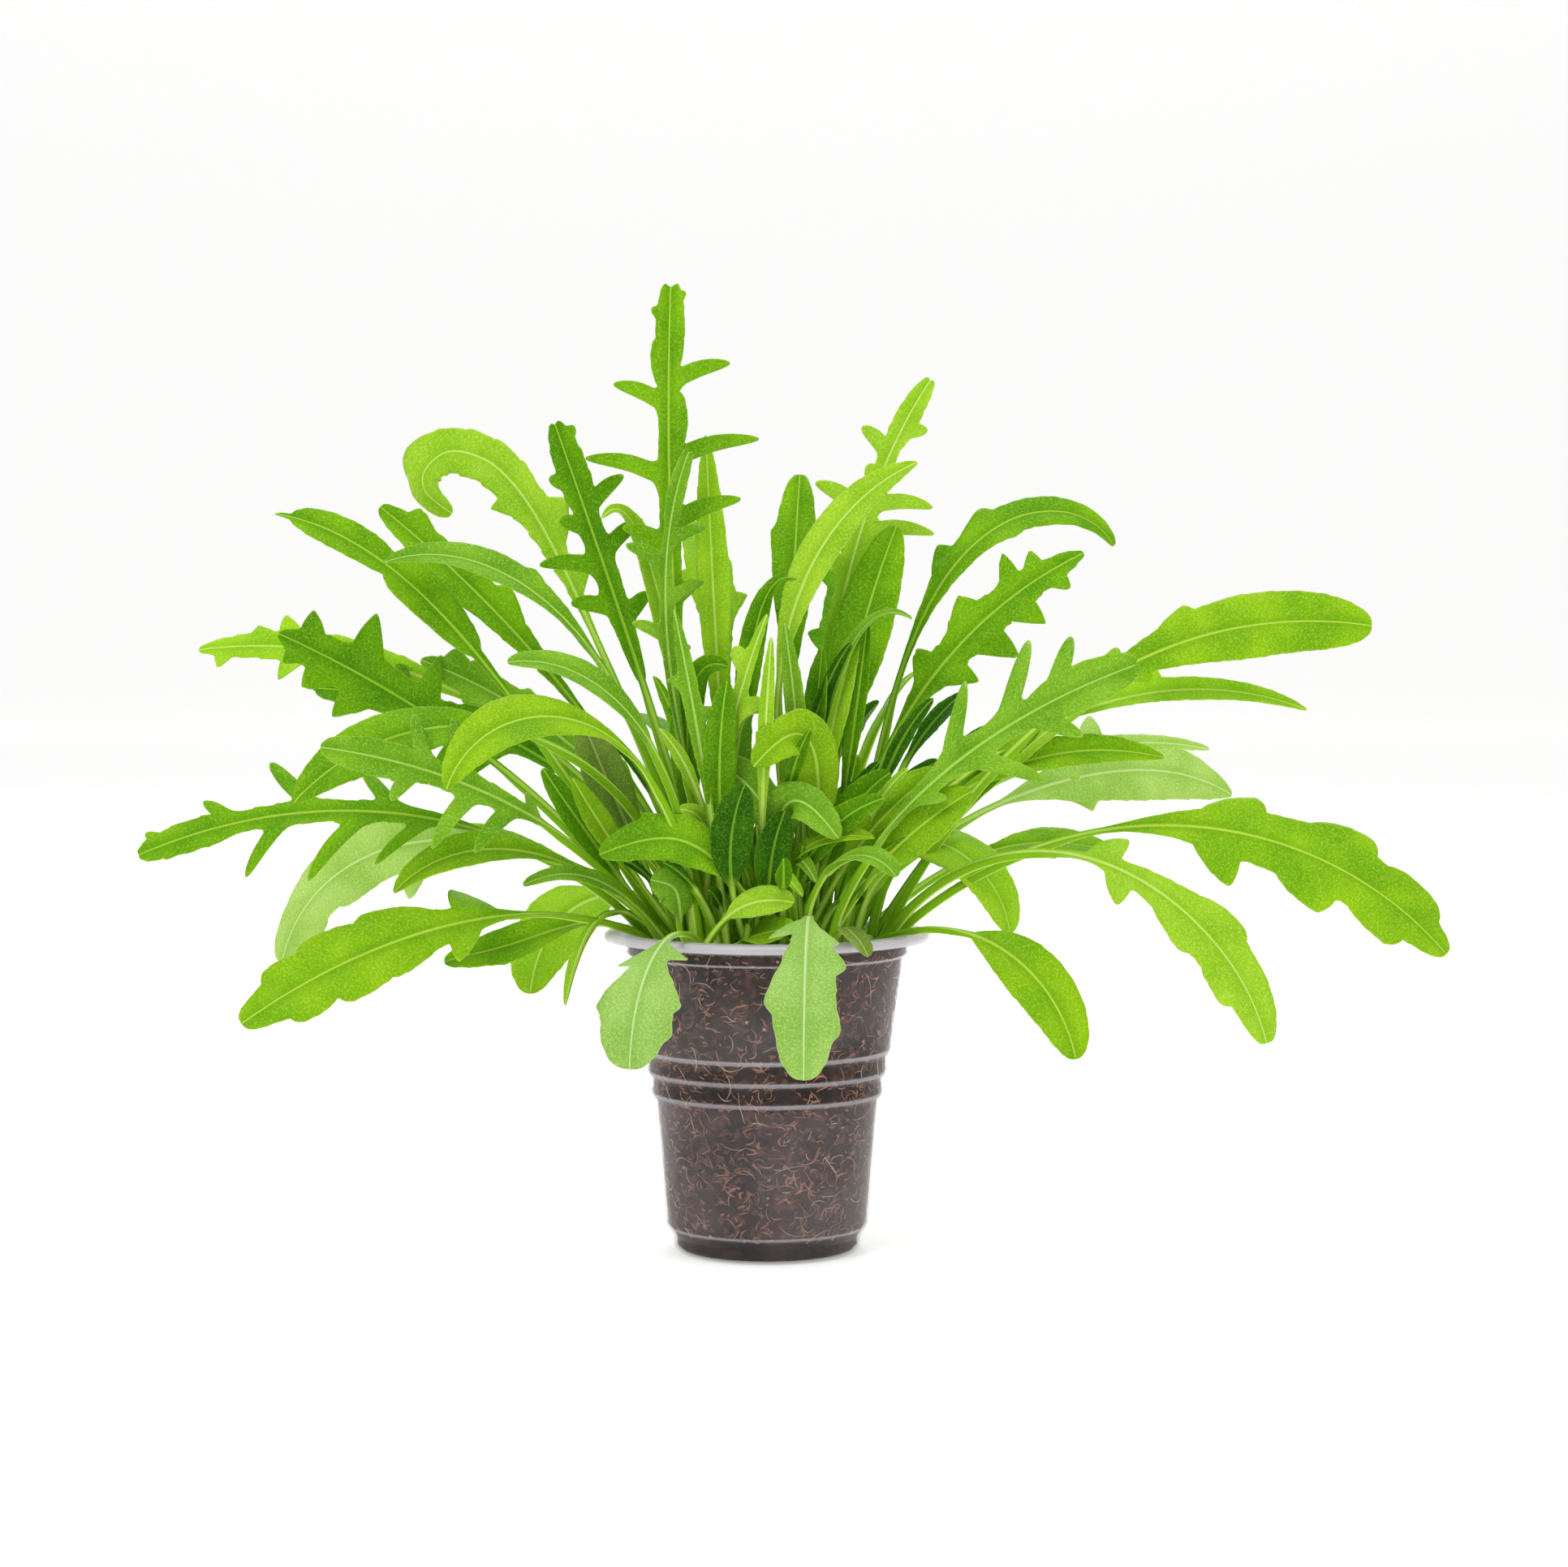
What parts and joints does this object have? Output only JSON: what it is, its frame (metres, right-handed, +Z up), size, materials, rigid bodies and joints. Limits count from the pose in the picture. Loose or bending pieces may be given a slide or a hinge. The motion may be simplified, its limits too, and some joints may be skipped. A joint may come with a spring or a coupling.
{
  "type": "arugula plant in a cup",
  "caption": "Leafy arugula plant with smooth, toothed and lobed leaves, growing in dark soil in a thin stepped translucent cup that stands on its flat base.",
  "frame": {"origin": "centre of the cup's flat base, where it stands", "axes": "+Z up along the cup's axis; +X to the right along the plant's widest spread; -Y the front, towards the two leaves that hang over the rim"},
  "size_m": [0.2999, 0.1482, 0.2216],
  "materials": {
    "clear_plastic": "thin translucent thermoformed plastic with a faint haze",
    "dark_soil": null,
    "pale_crown": null,
    "leaf_green": null
  },
  "bodies": {
    "root": {"crown_back_left": "pale_crown", "crown_back_right": "pale_crown", "crown_front": "pale_crown", "crown_front_left": "pale_crown", "crown_left": "pale_crown", "crown_mid_left": "pale_crown", "crown_mid_right": "pale_crown", "crown_right": "pale_crown", "cup": "clear_plastic", "leaf_back_leaning": "leaf_green", "leaf_back_left_bright": "leaf_green", "leaf_back_left_drooping": "leaf_green", "leaf_back_left_fingered": "leaf_green", "leaf_back_left_hanging": "leaf_green", "leaf_back_right_grey": "leaf_green", "leaf_back_right_hanging": "leaf_green", "leaf_back_right_pale": "leaf_green", "leaf_back_right_upright": "leaf_green", "leaf_back_upright": "leaf_green", "leaf_far_left_fingered": "leaf_green", "leaf_front_centre": "leaf_green", "leaf_front_grey_small": "leaf_green", "leaf_front_left_arching": "leaf_green", "leaf_front_left_broad": "leaf_green", "leaf_front_left_fingered": "leaf_green", "leaf_front_left_over_rim": "leaf_green", "leaf_front_left_small": "leaf_green", "leaf_front_olive_small": "leaf_green", "leaf_front_over_rim": "leaf_green", "leaf_front_pale_small": "leaf_green", "leaf_left_arching": "leaf_green", "leaf_left_curled": "leaf_green", "leaf_left_curving": "leaf_green", "leaf_left_fingered_tall": "leaf_green", "leaf_left_grey": "leaf_green", "leaf_left_oak": "leaf_green", "leaf_left_spatulate": "leaf_green", "leaf_left_toothed": "leaf_green", "leaf_left_twisting": "leaf_green", "leaf_low_left_broad": "leaf_green", "leaf_low_left_small": "leaf_green", "leaf_mid_dark": "leaf_green", "leaf_mid_leaning": "leaf_green", "leaf_mid_left_arching": "leaf_green", "leaf_mid_smooth": "leaf_green", "leaf_right_arching": "leaf_green", "leaf_right_broad": "leaf_green", "leaf_right_fingered_tall": "leaf_green", "leaf_right_front_short": "leaf_green", "leaf_right_hanging": "leaf_green", "leaf_right_level": "leaf_green", "leaf_right_long": "leaf_green", "leaf_right_oak": "leaf_green", "leaf_right_oval": "leaf_green", "leaf_right_pale_arching": "leaf_green", "leaf_right_serrated": "leaf_green", "leaf_right_spoon": "leaf_green", "leaf_slim_fingered": "leaf_green", "leaf_tallest": "leaf_green", "soil": "dark_soil"}
  },
  "joints": []
}
